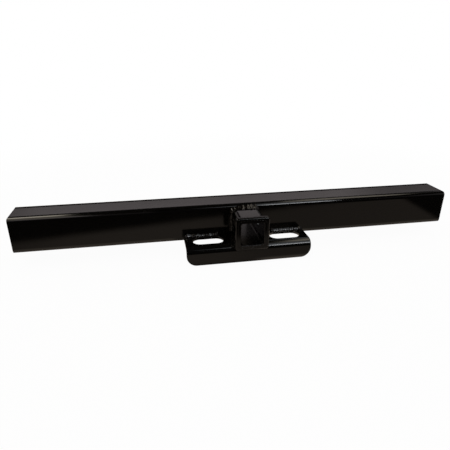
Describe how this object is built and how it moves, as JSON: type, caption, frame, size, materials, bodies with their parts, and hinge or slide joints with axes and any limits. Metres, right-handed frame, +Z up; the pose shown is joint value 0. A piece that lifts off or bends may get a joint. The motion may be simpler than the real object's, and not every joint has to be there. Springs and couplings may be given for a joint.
{
  "type": "trailer hitch receiver",
  "caption": "Square steel crossbar with a receiver tube welded through its middle, a collar round the mouth and a bent plate with slots for the safety chains.",
  "frame": {"origin": "centre of the hitch pin hole, on the receiver tube's axis", "axes": "+X along the crossbar and the hitch pin, -Y out of the receiver's mouth, +Z up"},
  "size_m": [1.016, 0.168, 0.1137],
  "materials": {
    "powder_coat_bar": "gloss black powder coat",
    "powder_coat_tube": "gloss black powder coat",
    "powder_coat_collar": "gloss black powder coat",
    "powder_coat_plate": "gloss black powder coat",
    "coated_weld": "gloss black powder coat over weld beads"
  },
  "bodies": {
    "root": {"crossbar": "powder_coat_bar", "receiver_tube": "powder_coat_tube", "mouth_collar": "powder_coat_collar", "chain_plate": "powder_coat_plate", "front_top_weld": "coated_weld", "front_left_weld": "coated_weld", "front_right_weld": "coated_weld", "front_bottom_weld": "coated_weld", "rear_top_weld": "coated_weld", "rear_left_weld": "coated_weld", "rear_right_weld": "coated_weld", "rear_bottom_weld": "coated_weld", "collar_top_weld": "coated_weld", "collar_left_weld": "coated_weld", "collar_right_weld": "coated_weld", "collar_bottom_weld": "coated_weld", "plate_top_weld_left": "coated_weld", "plate_top_weld_right": "coated_weld", "plate_bottom_weld_left": "coated_weld", "plate_bottom_weld_right": "coated_weld", "plate_side_weld_left": "coated_weld", "plate_side_weld_right": "coated_weld", "lip_weld": "coated_weld"}
  },
  "joints": []
}
